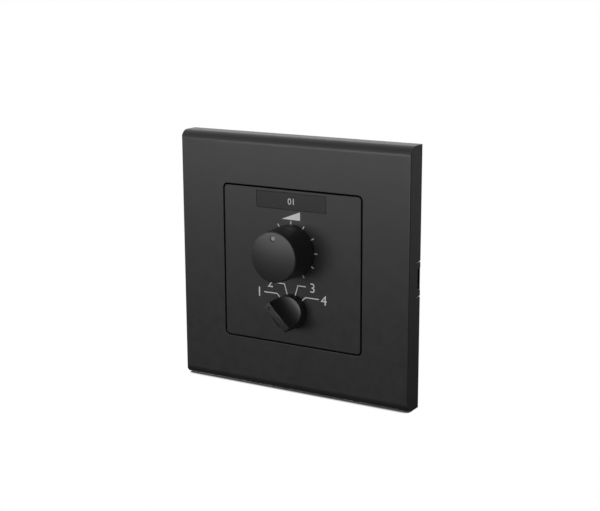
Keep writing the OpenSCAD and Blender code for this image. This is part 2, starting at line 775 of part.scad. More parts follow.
module volume_washer() color("#c4c6c9") on_volume() washer();

module volume_bushing() color("#a9acb0") on_volume() bushing(volume_shaft_d);

module volume_can() color("#b4b7bb") on_volume() {
    stop_half = 180 - volume_half_turn - stop_lug_half;
    difference() {
        translate([0, 0, -flange_t - can_depth]) cylinder(d = body_d, h = can_depth);
        translate([0, 0, -flange_t - can_depth + can_wall]) cylinder(r = can_in_r, h = can_depth);
        bar(-tongue_w / 2 - seat_gap, 0, track_back - seat_gap - volume_pin_t,
            [tongue_w + 2 * seat_gap, body_d, can_depth]);
    }
    translate([0, 0, rotor_front - rotor_t]) linear_extrude(rotor_t)
        ring_sector(rotor_r + turn_gap, can_in_r + can_wall / 2, 270, stop_half - stop_play);
}

// A piece of a flat ring, centred on an angle
module ring_sector(r_in, r_out, at, half) {
    intersection() {
        difference() {
            circle(r_out);
            circle(r_in);
        }
        rotate(at) scale(2 * r_out) polygon([[0, 0], [cos(half), -sin(half)], [cos(half), sin(half)]]);
    }
}

module volume_track() color("#6b4a2a") on_volume() {
    translate([0, 0, track_back]) linear_extrude(track_t) difference() {
        union() {
            circle(can_in_r - seat_gap);
            translate([-tongue_w / 2, 0]) square([tongue_w, pin_bend_at]);
        }
        circle(d = volume_shaft_d + 2 * turn_gap);
    }
}

module volume_rotor() color("#e4e2da") on_volume() {
    translate([0, 0, rotor_front - rotor_t]) linear_extrude(rotor_t) difference() {
        union() {
            circle(rotor_r);
            ring_sector(rotor_r / 2, can_in_r - turn_gap, 90, stop_lug_half);
        }
        d_section(volume_shaft_d, volume_flat, run_gap);
    }
}

// A sprung finger of a contact: a cone that narrows to the track or ring that it presses on
module finger(h) {
    cylinder(d1 = finger_d, d2 = finger_d / 2, h = h);
}

// A wiper of thin sheet: an arc on the rotor's face and two fingers that reach the track
module volume_wiper() color("#c9953c") on_volume() {
    middle = (volume_shaft_d / 2 + rotor_r) / 2;
    sheet_half = 40;
    finger_turn = 30;
    translate([0, 0, rotor_front]) {
        linear_extrude(contact_t)
            ring_sector(volume_shaft_d / 2 + turn_gap, rotor_r - turn_gap, 90, sheet_half);
        for (s = [-1, 1]) rotate(90 + finger_turn * s)
            translate([middle, 0, 0]) finger(wiper_gap - run_gap);
    }
}

module volume_pins() color("#cfd1d4") on_volume() {
    low = board_back - pin_out;
    for (x = volume_pin_xs) {
        bar(x - volume_pin_w, body_d / 2 + seat_gap, track_back - volume_pin_t,
            [2 * volume_pin_w, pin_bend_at + volume_pin_t - body_d / 2 - seat_gap, volume_pin_t]);
        bar(x - volume_pin_w / 2, pin_bend_at, low, [volume_pin_w, volume_pin_t, track_back - low]);
    }
}

module selector_shaft() color("#b9bcc0") on_selector(0, selector_rest)
    shaft(selector_shaft_d, selector_flat, carrier_back, wheel_front, hub_z, selector_shaft_end);

module selector_clip() color("#7c7f84") on_selector() retaining_clip(selector_shaft_d);

module selector_nut() color("#c4c6c9") on_selector() nut();

module selector_washer() color("#c4c6c9") on_selector() washer();

module selector_bushing() color("#a9acb0") on_selector() bushing(selector_shaft_d);

// The switch body: a tube with a step for the stator, ledges for the leaf spring and two stops
module switch_body() color("#3b3026") on_selector() {
    stop_turn = stop_lug_half + stop_play + stop_post_half;
    difference() {
        translate([0, 0, switch_back]) cylinder(d = body_d, h = switch_depth);
        translate([0, 0, switch_back - past]) cylinder(r = switch_in_r, h = switch_depth + 2 * past);
        translate([0, 0, switch_back - past]) cylinder(r = stator_r + seat_gap, h = stator_t + past);
    }
    for (at = [selector_rest + stop_turn, -selector_rest - stop_turn])
        translate([0, 0, carrier_back]) linear_extrude(rotor_t)
            ring_sector(carrier_r + turn_gap, switch_in_r + switch_wall / 2, 270 + at, stop_post_half);
    for (s = [0, 1]) mirror([s, 0, 0]) intersection() {
        translate([0, 0, wheel_front - wheel_t]) cylinder(r = switch_in_r + switch_wall / 2, h = wheel_t);
        bar(leaf_half - switch_wall, leaf_at + leaf_t + seat_gap, -body_d, [switch_wall, body_d, body_d]);
    }
}

// The detent wheel: twelve lobes, so that the leaf's nose lies in a valley at every position
module detent_wheel() color("#e4e2da") on_selector(0, selector_rest) {
    lobes = 360 / selector_step;
    translate([0, 0, wheel_front - wheel_t]) linear_extrude(wheel_t) difference() {
        circle(wheel_r);
        for (i = [0:lobes - 1]) rotate((i + 0.5) * selector_step)
            translate([0, wheel_r + valley_depth]) circle(2 * valley_depth);
        d_section(selector_shaft_d, selector_flat, run_gap);
    }
}

// The leaf spring of the detent: a flat strip with a round nose that sits in a valley
module detent_spring() color("#b99a55") on_selector() {
    nose_r = 2 * valley_depth - seat_gap;
    translate([0, 0, wheel_front - wheel_t]) linear_extrude(wheel_t) difference() {
        union() {
            translate([-leaf_half, leaf_at]) square([2 * leaf_half, leaf_t]);
            translate([0, wheel_r + valley_depth]) circle(nose_r);
        }
        translate([-2 * nose_r, leaf_at + leaf_t]) square(4 * nose_r);
        translate([0, wheel_r + valley_depth]) circle(nose_r - leaf_t);
    }
}

module contact_carrier() color("#e4e2da") on_selector(0, selector_rest) {
    translate([0, 0, carrier_back]) linear_extrude(rotor_t) difference() {
        union() {
            circle(carrier_r);
            ring_sector(carrier_r / 2, switch_in_r - turn_gap, 270, stop_lug_half);
        }
        d_section(selector_shaft_d, selector_flat, run_gap);
    }
}

// The moving contact: a strip on the carrier with a finger over the common ring and one over a rivet
module moving_contact() color("#c9953c") on_selector(carrier_back, selector_rest)
    mirror([0, 0, 1]) {
        linear_extrude(contact_t) translate([-moving_w / 2, common_at - moving_w / 2])
            square([moving_w, contact_at - common_at + moving_w]);
        for (y = [common_at, contact_at]) translate([0, y, 0])
            finger(carrier_back - stator_front - contact_t - run_gap);
    }

module switch_stator() color("#6b4a2a") on_selector() {
    translate([0, 0, switch_back]) linear_extrude(stator_t) difference() {
        circle(stator_r);
        for (angle = contact_angles) rotate(angle)
            translate([0, contact_at]) circle(d = rivet_d + 2 * run_gap);
        translate([0, -common_at]) circle(d = rivet_d + 2 * run_gap);
    }
}

// Four rivets, one for each position, and the common ring, each with a pin into the board
module fixed_contacts() color("#d8b25c") on_selector() {
    low = board_back - pin_out;
    for (angle = contact_angles) rotate(angle) translate([0, contact_at, 0]) {
        translate([0, 0, stator_front]) cylinder(d = rivet_head_d, h = contact_t);
        translate([0, 0, low]) cylinder(d = rivet_d, h = stator_front - low + sink);
    }
    translate([0, 0, stator_front]) linear_extrude(contact_t) difference() {
        circle(common_at + common_w / 2);
        circle(common_at - common_w / 2);
    }
    translate([0, -common_at, low]) cylinder(d = rivet_d, h = stator_front - low + sink);
}

module terminal_board() color("#1f5a3c") upright() {
    x = board_w / 2;
    top = board_cut_top;
    low = board_cut_low;
    translate([0, 0, board_back]) linear_extrude(board_t) difference() {
        polygon([[-x, board_top - top], [top - x, board_top], [x - top, board_top], [x, board_top - top],
            [x, board_low + low], [x - low, board_low], [low - x, board_low], [-x, board_low + low]]);
        for (at = board_posts) translate(at) circle(d = screw_d + 2 * seat_gap);
        for (px = volume_pin_xs)
            translate([px, volume_y + pin_bend_at + volume_pin_t / 2]) circle(d = pin_hole_d);
        translate([0, selector_y]) {
            for (angle = contact_angles) rotate(angle) translate([0, contact_at]) circle(d = pin_hole_d);
            translate([0, -common_at]) circle(d = pin_hole_d);
        }
        for (px = way_xs) translate([px, block_y]) circle(d = pin_hole_d);
    }
}

module board_screws() color("#9a9da2") upright() {
    shank = -board_back + base_floor / 2 - turn_gap;
    for (at = board_posts) translate([at.x, at.y, board_back]) difference() {
        union() {
            cylinder(d = screw_d, h = shank);
            translate([0, 0, -screw_head_h])
                cylinder(d1 = screw_head_d - screw_head_h / 2, d2 = screw_head_d, h = screw_head_h);
        }
        translate([0, 0, -screw_head_h]) cross_recess();
    }
}

// The terminal block stands on the back of the board, its wire entries down and its screws to the rear
module block_frame() upright() translate([0, block_y, board_back]) mirror([0, 0, 1]) children();

module terminal_block() color("#2f7d4f") block_frame() {
    y = block_d / 2;
    shoulder = cage_roof + block_wall / 2;
    difference() {
        rotate([90, 0, 90]) linear_extrude(block_w, center = true)
            polygon([[-y, 0], [-y, shoulder], [block_wall - y, well_floor], [block_wall - y, block_h],
                [y - block_wall, block_h], [y, well_floor], [y, 0]]);
        for (x = way_xs) translate([x, 0, 0]) {
            bar(-cage_w / 2 - seat_gap, -cage_d / 2 - seat_gap, block_wall,
                [cage_w + 2 * seat_gap, cage_d + 2 * seat_gap, well_floor - block_wall - block_wall / 2]);
            bar(-entry_w / 2, -block_d, entry_low, [entry_w, block_d, entry_w]);
            translate([0, 0, block_wall]) cylinder(d = clamp_head_d + 2 * seat_gap, h = block_h);
            translate([0, 0, -past]) cylinder(d = cage_pin_d + 2 * seat_gap, h = block_wall + 2 * past);
        }
    }
}

module terminal_cages() color("#c8a24a") block_frame() {
    for (x = way_xs) translate([x, 0, 0]) {
        difference() {
            bar(-cage_w / 2, -cage_d / 2, cage_low, [cage_w, cage_d, cage_top - cage_low]);
            bar(-entry_w / 2 - seat_gap, -block_d, entry_low,
                [entry_w + 2 * seat_gap, 2 * block_d, entry_w]);
            translate([0, 0, cage_roof - past])
                cylinder(d = clamp_screw_d + 2 * run_gap, h = 2 * past + cage_roof_t);
        }
        translate([0, 0, -board_t - pin_out])
            cylinder(d = cage_pin_d, h = board_t + pin_out + cage_low + sink);
    }
}

module terminal_screws() color("#a7aaae") block_frame() {
    head_h = block_h - well_floor - clamp_slot_w;
    tip = cage_roof - cage_floor;
    for (x = way_xs) translate([x, 0, 0]) difference() {
        union() {
            translate([0, 0, tip]) cylinder(d = clamp_screw_d, h = well_floor - tip + sink);
            translate([0, 0, well_floor]) cylinder(d = clamp_head_d, h = head_h);
        }
        translate([0, 0, well_floor + head_h / 2]) linear_extrude(head_h)
            square([2 * clamp_head_d, clamp_slot_w], center = true);
    }
}

// A chip on the back of the board, drawn as its body and two end caps in one
module chip(h) {
    translate([0, 0, board_back - h]) linear_extrude(h) square([chip_w, chip_l], center = true);
}

module ladder_resistors() color("#1d1d1f") upright() {
    for (at = resistor_spots) translate([at.x, at.y, 0]) chip(resistor_h);
}

module filter_capacitors() color("#b08a5a") upright() {
    for (at = capacitor_spots) translate([at.x, at.y, 0]) chip(capacitor_h);
}

faceplate_frame();
centre_panel();
label_window();
label_card();
mounting_frame();
panel_screws();
volume_knob();
volume_shaft();
volume_clip();
volume_nut();
volume_washer();
volume_bushing();
volume_can();
volume_track();
volume_wiper();
volume_rotor();
volume_pins();
selector_knob();
selector_shaft();
selector_clip();
selector_nut();
selector_washer();
selector_bushing();
switch_body();
detent_wheel();
detent_spring();
contact_carrier();
moving_contact();
switch_stator();
fixed_contacts();
terminal_board();
board_screws();
terminal_block();
terminal_cages();
terminal_screws();
ladder_resistors();
filter_capacitors();
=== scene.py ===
import json
from math import asin, cos, pi, radians, sin, sqrt

import bmesh
import bpy
from mathutils import Matrix, Vector

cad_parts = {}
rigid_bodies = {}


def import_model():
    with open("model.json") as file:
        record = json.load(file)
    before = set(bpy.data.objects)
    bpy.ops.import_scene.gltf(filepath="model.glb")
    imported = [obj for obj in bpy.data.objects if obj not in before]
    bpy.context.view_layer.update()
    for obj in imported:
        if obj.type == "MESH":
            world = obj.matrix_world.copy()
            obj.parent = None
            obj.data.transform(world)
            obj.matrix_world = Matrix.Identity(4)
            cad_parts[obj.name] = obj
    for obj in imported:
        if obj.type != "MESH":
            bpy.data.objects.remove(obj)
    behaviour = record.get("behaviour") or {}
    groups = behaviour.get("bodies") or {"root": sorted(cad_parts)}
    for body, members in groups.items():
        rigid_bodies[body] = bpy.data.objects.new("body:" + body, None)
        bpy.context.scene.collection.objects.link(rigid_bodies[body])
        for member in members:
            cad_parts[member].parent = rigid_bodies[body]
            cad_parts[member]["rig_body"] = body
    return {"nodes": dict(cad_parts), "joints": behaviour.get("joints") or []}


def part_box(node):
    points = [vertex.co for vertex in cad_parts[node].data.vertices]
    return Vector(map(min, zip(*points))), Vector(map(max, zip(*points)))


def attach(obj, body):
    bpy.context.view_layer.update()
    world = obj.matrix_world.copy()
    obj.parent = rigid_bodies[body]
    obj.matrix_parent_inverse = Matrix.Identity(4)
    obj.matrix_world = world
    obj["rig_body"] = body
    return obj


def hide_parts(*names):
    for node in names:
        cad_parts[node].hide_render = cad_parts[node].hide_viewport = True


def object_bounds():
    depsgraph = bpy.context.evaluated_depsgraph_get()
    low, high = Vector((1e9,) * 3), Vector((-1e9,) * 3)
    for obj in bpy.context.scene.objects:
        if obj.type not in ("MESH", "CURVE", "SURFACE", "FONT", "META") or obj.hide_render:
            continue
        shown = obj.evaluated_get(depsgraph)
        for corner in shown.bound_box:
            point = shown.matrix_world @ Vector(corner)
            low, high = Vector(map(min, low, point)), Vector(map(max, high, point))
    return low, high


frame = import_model()
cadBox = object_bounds()
scene = bpy.context.scene
mm = 0.001

# what the frame says of the front, in mm: how far out the panel stands, and how far up the volume axis is
frontOut = -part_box("centre_panel")[0].y / mm
volumeJoint = next(joint for joint in frame["joints"] if joint["child"] == "volume")
volumeUp = volumeJoint["pos_m"][2] / mm
print("frame loaded, panel front at", round(frontOut, 3), "mm")


# a point of the wall, in mm: right, up, and out towards the room
def onWall(right, up, out):
    return Vector((right, -out, up)) * mm


# nodes that shading and geometry share

def setInputs(node, values):
    for socket, value in values.items():
        node.inputs[socket].default_value = value


def mathNode(tree, operation, *values):
    node = tree.nodes.new("ShaderNodeMath")
    node.operation = operation
    for i, value in enumerate(values):
        if isinstance(value, (int, float)):
            node.inputs[i].default_value = value
        else:
            tree.links.new(value, node.inputs[i])
    return node.outputs[0]


# a value taken from one pair of ends to another
def mapRange(tree, value, ends, results=(0, 1), way="LINEAR"):
    span = tree.nodes.new("ShaderNodeMapRange")
    span.interpolation_type = way
    setInputs(span, {"From Min": ends[0], "From Max": ends[1], "To Min": results[0], "To Max": results[1]})
    tree.links.new(value, span.inputs["Value"])
    return span.outputs["Result"]


# materials

def newFinish(name):
    material = bpy.data.materials.new(name)
    material.use_nodes = True
    tree = material.node_tree
    return material, tree, tree.nodes["Principled BSDF"]


# noise on the piece's own place, in grains per metre, packed closer along x, y or z by a factor
def grain(tree, scale, detail, packing=(1, 1, 1)):
    coords = tree.nodes.new("ShaderNodeTexCoord")
    mapping = tree.nodes.new("ShaderNodeMapping")
    noise = tree.nodes.new("ShaderNodeTexNoise")
    setInputs(mapping, {"Scale": packing})
    setInputs(noise, {"Scale": scale, "Detail": detail})
    tree.links.new(coords.outputs["Object"], mapping.inputs["Vector"])
    tree.links.new(mapping.outputs["Vector"], noise.inputs["Vector"])
    return noise.outputs["Fac"]


noiseEnds = (0.3, 0.7)  # nearly all of the noise lies between these


# a colour that wanders between two tones of the base colour
def tintBy(tree, shader, value, color, spread):
    ramp = tree.nodes.new("ShaderNodeValToRGB")
    low, high = ramp.color_ramp.elements
    low.position, high.position = noiseEnds
    low.color = [c * (1 - spread) for c in color] + [1]
    high.color = [c * (1 + spread) for c in color] + [1]
    tree.links.new(value, ramp.inputs["Fac"])
    tree.links.new(ramp.outputs["Color"], shader.inputs["Base Color"])


def roughBy(tree, shader, value, rough, spread):
    wander = mapRange(tree, value, noiseEnds, (rough - spread, rough + spread))
    tree.links.new(wander, shader.inputs["Roughness"])


def bumpBy(tree, shader, value, height, strength):
    bump = tree.nodes.new("ShaderNodeBump")
    setInputs(bump, {"Strength": strength, "Distance": height})
    tree.links.new(value, bump.inputs["Height"])
    tree.links.new(bump.outputs["Normal"], shader.inputs["Normal"])


# moulded plastic: a fine spark-eroded grain and a broad, faint change of tone
moulded = {"tone": (90, 5.0), "toneSpread": 0.06, "gloss": (420, 3.0), "glossSpread": 0.03,
           "pitDetail": 2.0, "pitHeight": 0.0012 * mm, "pitStrength": 0.5}


def mouldedPlastic(name, color, rough, shine=0.25, pitSize=0.2):
    material, tree, shader = newFinish(name)
    setInputs(shader, {"Specular IOR Level": shine})
    tintBy(tree, shader, grain(tree, *moulded["tone"]), color, moulded["toneSpread"])
    roughBy(tree, shader, grain(tree, *moulded["gloss"]), rough, moulded["glossSpread"])
    pits = grain(tree, 1 / (pitSize * mm), moulded["pitDetail"])
    bumpBy(tree, shader, pits, moulded["pitHeight"], moulded["pitStrength"])
    return material


# the knobs' plastic: polished in front and dull round the side, by the y of the way the surface faces
knobLook = {"shine": 0.56, "tone": (90, 5.0), "toneSpread": 0.06, "pits": (6600, 2.0),
            "pitHeight": 0.0012 * mm, "pitStrength": 0.5, "frontToSide": (-0.25, -0.1)}


def knobPlastic(name, color, front, side):
    material, tree, shader = newFinish(name)
    setInputs(shader, {"Specular IOR Level": knobLook["shine"]})
    tintBy(tree, shader, grain(tree, *knobLook["tone"]), color, knobLook["toneSpread"])
    bumpBy(tree, shader, grain(tree, *knobLook["pits"]), knobLook["pitHeight"], knobLook["pitStrength"])
    facing = tree.nodes.new("ShaderNodeSeparateXYZ")
    tree.links.new(tree.nodes.new("ShaderNodeTexCoord").outputs["Normal"], facing.inputs["Vector"])
    rough = mapRange(tree, facing.outputs["Y"], knobLook["frontToSide"], (front, side))
    tree.links.new(rough, shader.inputs["Roughness"])
    return material


# plated or turned metal, its fine lines across the direction of closest packing
worked = {"tone": (300, 5.0), "toneSpread": 0.12, "gloss": (900, 4.0), "glossSpread": 0.08,
          "lines": (2600, 3.0), "lineHeight": 0.001 * mm, "lineStrength": 0.6}


def workedMetal(name, color, rough, packing=(1, 1, 1)):
    material, tree, shader = newFinish(name)
    setInputs(shader, {"Metallic": 1.0})
    tintBy(tree, shader, grain(tree, *worked["tone"]), color, worked["toneSpread"])
    roughBy(tree, shader, grain(tree, *worked["gloss"], packing), rough, worked["glossSpread"])
    lines = grain(tree, *worked["lines"], packing)
    bumpBy(tree, shader, lines, worked["lineHeight"], worked["lineStrength"])
    return material


# woven laminate under lacquer: its threads run across in the tone and up in the relief
woven = {"tone": (700, 4.0, (1, 1, 3)), "toneSpread": 0.14, "gloss": (350, 3.0), "glossSpread": 0.06,
         "weave": (2200, 2.0, (3, 1, 1)), "weaveHeight": 0.002 * mm, "weaveStrength": 0.6}


def boardLaminate(name, color, rough):
    material, tree, shader = newFinish(name)
    tintBy(tree, shader, grain(tree, *woven["tone"]), color, woven["toneSpread"])
    roughBy(tree, shader, grain(tree, *woven["gloss"]), rough, woven["glossSpread"])
    bumpBy(tree, shader, grain(tree, *woven["weave"]), woven["weaveHeight"], woven["weaveStrength"])
    return material


# smoked plastic, a little see-through
smoked = {"shine": 0.42, "tone": (150, 3.0), "toneSpread": 0.05, "gloss": (500, 3.0), "glossSpread": 0.03}


def smokedWindow(name, color, rough, cover):
    material, tree, shader = newFinish(name)
    setInputs(shader, {"Alpha": cover, "Specular IOR Level": smoked["shine"]})
    tintBy(tree, shader, grain(tree, *smoked["tone"]), color, smoked["toneSpread"])
    roughBy(tree, shader, grain(tree, *smoked["gloss"]), rough, smoked["glossSpread"])
    return material


# ink, paint and printed card
printed = {"shine": 0.2, "tone": (2500, 3.0), "toneSpread": 0.05, "gloss": (1500, 3.0), "glossSpread": 0.08}


def printedInk(name, color, rough=0.55):
    material, tree, shader = newFinish(name)
    setInputs(shader, {"Specular IOR Level": printed["shine"]})
    tintBy(tree, shader, grain(tree, *printed["tone"]), color, printed["toneSpread"])
    roughBy(tree, shader, grain(tree, *printed["gloss"]), rough, printed["glossSpread"])
    return material


finishes = {
    "faceplate_plastic": mouldedPlastic("faceplatePlastic", (0.0235, 0.0235, 0.024), rough=0.36, shine=0.46),
    "panel_plastic": mouldedPlastic("panelPlastic", (0.0228, 0.0228, 0.0233), rough=0.36, shine=0.46),
    "knob_plastic": knobPlastic("knobPlastic", (0.0166, 0.0166, 0.017), front=0.37, side=0.5),
    "frame_plastic": mouldedPlastic("framePlastic", (0.018, 0.018, 0.0185), rough=0.5, pitSize=0.3),
    "window_plastic": smokedWindow("smokedWindow", (0.014, 0.014, 0.0144), rough=0.37, cover=0.9),
    "card": printedInk("labelCard", (0.02, 0.02, 0.021), rough=0.7),
    "zinc_steel": workedMetal("zincSteel", (0.52, 0.54, 0.57), rough=0.32),
    "clip_steel": workedMetal("clipSteel", (0.33, 0.33, 0.35), rough=0.36),
    "nickel_steel": workedMetal("nickelSteel", (0.6, 0.57, 0.52), rough=0.26),
    "bushing_metal": workedMetal("bushingMetal", (0.55, 0.55, 0.55), rough=0.38),
    "can_steel": workedMetal("canSteel", (0.56, 0.57, 0.58), rough=0.34, packing=(1, 1, 6)),
    "shaft_aluminium": workedMetal("shaftAluminium", (0.75, 0.75, 0.76), rough=0.3, packing=(1, 8, 1)),
    "laminate": boardLaminate("trackLaminate", (0.16, 0.075, 0.03), rough=0.5),
    "nylon": mouldedPlastic("naturalNylon", (0.62, 0.6, 0.54), rough=0.5, shine=0.4),
    "switch_plastic": mouldedPlastic("switchPlastic", (0.03, 0.03, 0.032), rough=0.45, shine=0.35),
    "spring_bronze": workedMetal("springBronze", (0.62, 0.4, 0.2), rough=0.3),
    "contact_brass": workedMetal("contactBrass", (0.72, 0.55, 0.28), rough=0.3),
    "tinned_pins": workedMetal("tinnedPins", (0.7, 0.7, 0.71), rough=0.3),
    "board_laminate": boardLaminate("boardLaminate", (0.018, 0.085, 0.035), rough=0.38),
    "block_plastic": mouldedPlastic("blockPlastic", (0.03, 0.16, 0.07), rough=0.42, shine=0.4),
    "cage_brass": workedMetal("cageBrass", (0.66, 0.62, 0.5), rough=0.34),
    "resistor_body": mouldedPlastic("resistorBody", (0.02, 0.02, 0.022), rough=0.4, shine=0.5),
    "capacitor_body": mouldedPlastic("capacitorBody", (0.38, 0.25, 0.13), rough=0.45, shine=0.5),
    "print_ink": printedInk("printInk", (0.7, 0.7, 0.7)),
}
print("finishes made:", len(finishes))


# meshes

def placeMesh(name, mesh, body, slotName, nodes=(), finish=None):
    piece = bpy.data.objects.new(name, mesh)
    scene.collection.objects.link(piece)
    if not mesh.materials:
        mesh.materials.append(finish or finishes[slotName])
    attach(piece, body)
    if nodes:
        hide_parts(*nodes)


# a mesh in the place of a CAD node: on its body, in its finish
def placeFor(node, name, mesh):
    source = frame["nodes"][node]
    placeMesh(name, mesh, source["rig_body"], source.data.materials[0].name, [node])


def closeMesh(bm, name):
    mesh = bpy.data.meshes.new(name)
    bm.to_mesh(mesh)
    bm.free()
    return mesh


def dropLayers(mesh, *layers):
    for layer in layers:
        if layer in mesh.attributes:
            mesh.attributes.remove(mesh.attributes[layer])


# smooth shading that breaks at edges sharper than an angle
def shadeSmooth(mesh, angle):
    dropLayers(mesh, "custom_normal", "sharp_face")
    mesh.set_sharp_from_angle(angle=angle)


# an object that stands in the scene only until it is baked
def newDraft(name, data):
    draft = bpy.data.objects.new(name + "Draft", data)
    scene.collection.objects.link(draft)
    return draft


# a draft as its modifiers leave it, as a plain mesh
def bakeDraft(draft, name):
    graph = bpy.context.evaluated_depsgraph_get()
    mesh = bpy.data.meshes.new_from_object(draft.evaluated_get(graph))
    mesh.name = name
    draft.modifiers.clear()
    bpy.data.objects.remove(draft)
    return mesh


# how a CAD mesh is cleaned: points that merge, faces that are one flat, edges that may be eased and in how
# many steps, edges that stay smooth, and the least cosine between a corner's normal and its facet's
cleaning = {"merge": 0.004 * mm, "flat": radians(0.1), "sharp": radians(40), "steps": 3, "roundness": 0.5,
            "smooth": radians(32), "lean": 0.95}


def openNode(node):
    bm = bmesh.new()
    bm.from_mesh(frame["nodes"][node].data)
    return bm


def mergePoints(bm):
    bmesh.ops.remove_doubles(bm, verts=bm.verts, dist=cleaning["merge"])


# a merged copy of a CAD node: flats joined, the chosen sharp edges eased by a width in mm, the rest smooth
def easedNode(node, name, ease, chosen):
    bm = openNode(node)
    mergePoints(bm)
    bmesh.ops.dissolve_limit(bm, angle_limit=cleaning["flat"], verts=bm.verts, edges=bm.edges)
    sharp = [e for e in bm.edges if e.is_manifold and e.calc_face_angle() > cleaning["sharp"]]
    bmesh.ops.bevel(bm, geom=[e for e in sharp if chosen(e)], offset=ease * mm, offset_type="OFFSET",
                    segments=cleaning["steps"], profile=cleaning["roundness"], affect="EDGES",
                    clamp_overlap=True)
    mesh = closeMesh(bm, name)
    shadeSmooth(mesh, cleaning["smooth"])
    draft = newDraft(name, mesh)
    weigh = draft.modifiers.new("weigh", "WEIGHTED_NORMAL")
    weigh.keep_sharp = True
    placeFor(node, name, bakeDraft(draft, name))


# a merged copy of a CAD node with its true normals, or its facet's where they lean too far, at a dome's pole
def smoothNode(node, name):
    source = frame["nodes"][node].data
    bm = openNode(node)
    facing = bm.loops.layers.float_vector.new("facing")
    for face in bm.faces:
        for loop, corner in zip(face.loops, source.polygons[face.index].loop_indices):
            normal = source.corner_normals[corner].vector
            loop[facing] = normal if normal.dot(face.normal) > cleaning["lean"] else face.normal
    mergePoints(bm)
    mesh = closeMesh(bm, name)
    normals = [corner.vector.copy() for corner in mesh.attributes["facing"].data]
    dropLayers(mesh, "facing", "custom_normal", "sharp_face", "sharp_edge")
    mesh.normals_split_custom_set(normals)
    placeFor(node, name, mesh)


# front pieces, with the widths of their eased edges in mm

eased = {"opening": 0.18, "panel": 0.18, "window": 0.04}
windowLow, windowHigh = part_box("label_window")


# an edge in the plane of the panel's front, where the faceplate's opening and the window also end
def inFront(edge, slack=0.01):
    return all(abs(-v.co.y / mm - frontOut) < slack for v in edge.verts)


# an edge of the pocket round the label window
def byWindow(edge, slack=0.3):
    margin = slack * mm
    return all(windowLow.x - margin < v.co.x < windowHigh.x + margin
               and windowLow.z - margin < v.co.z < windowHigh.z + margin for v in edge.verts)


easedNode("faceplate_frame", "faceplateShell", eased["opening"], inFront)
easedNode("centre_panel", "panelFace", eased["panel"], lambda edge: inFront(edge) and not byWindow(edge))
easedNode("label_window", "labelWindow", eased["window"], inFront)
smoothNode("label_card", "labelCard")
smoothNode("volume_knob", "volumeGrip")
smoothNode("selector_knob", "selectorGrip")
print("front pieces dressed")


# prints: thin films of ink, sunk a little into the plastic, in mm

ink = {"stands": 0.02, "sinks": 0.01, "merge": 0.0005}
filmDepth = ink["stands"] + ink["sinks"]
filmMiddle = (ink["stands"] - ink["sinks"]) / 2


# a flat outline as a closed film on a face that stands so far out from the wall
def inkPlate(bm, outline, out):
    back = [bm.verts.new(onWall(x, up, out - ink["sinks"])) for x, up in outline]
    front = [bm.verts.new(onWall(x, up, out + ink["stands"])) for x, up in outline]
    bm.faces.new(front)
    bm.faces.new(back[::-1])
    for i in range(len(outline)):
        bm.faces.new((back[i - 1], back[i], front[i], front[i - 1]))


# the outline of a line of one width through a few points, with mitred corners
def stripe(points, width):
    points = [Vector(p) for p in points]
    steps = [(end - start).normalized() for start, end in zip(points, points[1:])]
    left, right = [], []
    for p, before, after in zip(points, steps[:1] + steps, steps + steps[-1:]):
        along = (before + after).normalized()
        across = Vector((-along.y, along.x)) * width / 2 / along.dot(after)
        left.append(p + across)
        right.append(p - across)
    return [tuple(p) for p in right + left[::-1]]


# a route of one half and its mirror image
def bothSides(route):
    return [[(side * x, up) for x, up in route] for side in (-1, 1)]


def inkLines(routes, width, out):
    bm = bmesh.new()
    for route in routes:
        inkPlate(bm, stripe(route, width), out)
    return bm


def printPiece(name, bm, slotName="print_ink", finish=None):
    bmesh.ops.recalc_face_normals(bm, faces=bm.faces)
    placeMesh(name, closeMesh(bm, name), "wall_unit", slotName, finish=finish)


wedge = {"left": -3.5, "right": 3.5, "low": 16.2, "high": 19.0}
wedgeMesh = bmesh.new()
inkPlate(wedgeMesh, [(wedge["left"], wedge["low"]), (wedge["right"], wedge["low"]),
                     (wedge["right"], wedge["high"])], frontOut)
printPiece("levelWedge", wedgeMesh)

leaders = {"width": 0.34,
           "outer": [(10.55, -9.3), (5.5, -9.3), (4.2, -10.5)],
           "inner": [(5.6, -5.65), (2.57, -5.65), (1.55, -9.15)]}
leaderRoutes = bothSides(leaders["outer"]) + bothSides(leaders["inner"])
printPiece("selectorLeaders", inkLines(leaderRoutes, leaders["width"], frontOut))


# characters as a film of ink, scaled to a height and centred on a place of the wall
def printedText(words, height, place, out):
    curve = bpy.data.curves.new(words, "FONT")
    curve.body = words
    curve.extrude = filmDepth / 2
    mesh = bakeDraft(newDraft(words, curve), words)
    xs = [v.co.x for v in mesh.vertices]
    ys = [v.co.y for v in mesh.vertices]
    size = height / (max(ys) - min(ys))
    right = place[0] - size * (max(xs) + min(xs)) / 2
    up = place[1] - size * (max(ys) + min(ys)) / 2
    for v in mesh.vertices:
        v.co = onWall(right + size * v.co.x, up + size * v.co.y, out + filmMiddle + v.co.z)
    return mesh


def printWords(name, words, out):
    bm = bmesh.new()
    for text, place in words["places"].items():
        bm.from_mesh(printedText(text, words["height"], place, out))
    bmesh.ops.remove_doubles(bm, verts=bm.verts, dist=ink["merge"] * mm)
    printPiece(name, bm)


numbers = {"height": 3.2,
           "places": {"1": (-12.4, -9.4), "2": (-8.1, -5.8), "3": (8.1, -5.8), "4": (12.4, -9.4)}}
printWords("selectorNumbers", numbers, frontOut)

label = {"height": 2.05, "places": {"01": (0.0, 22.2)}}
printWords("labelNumber", label, -windowLow.y / mm)


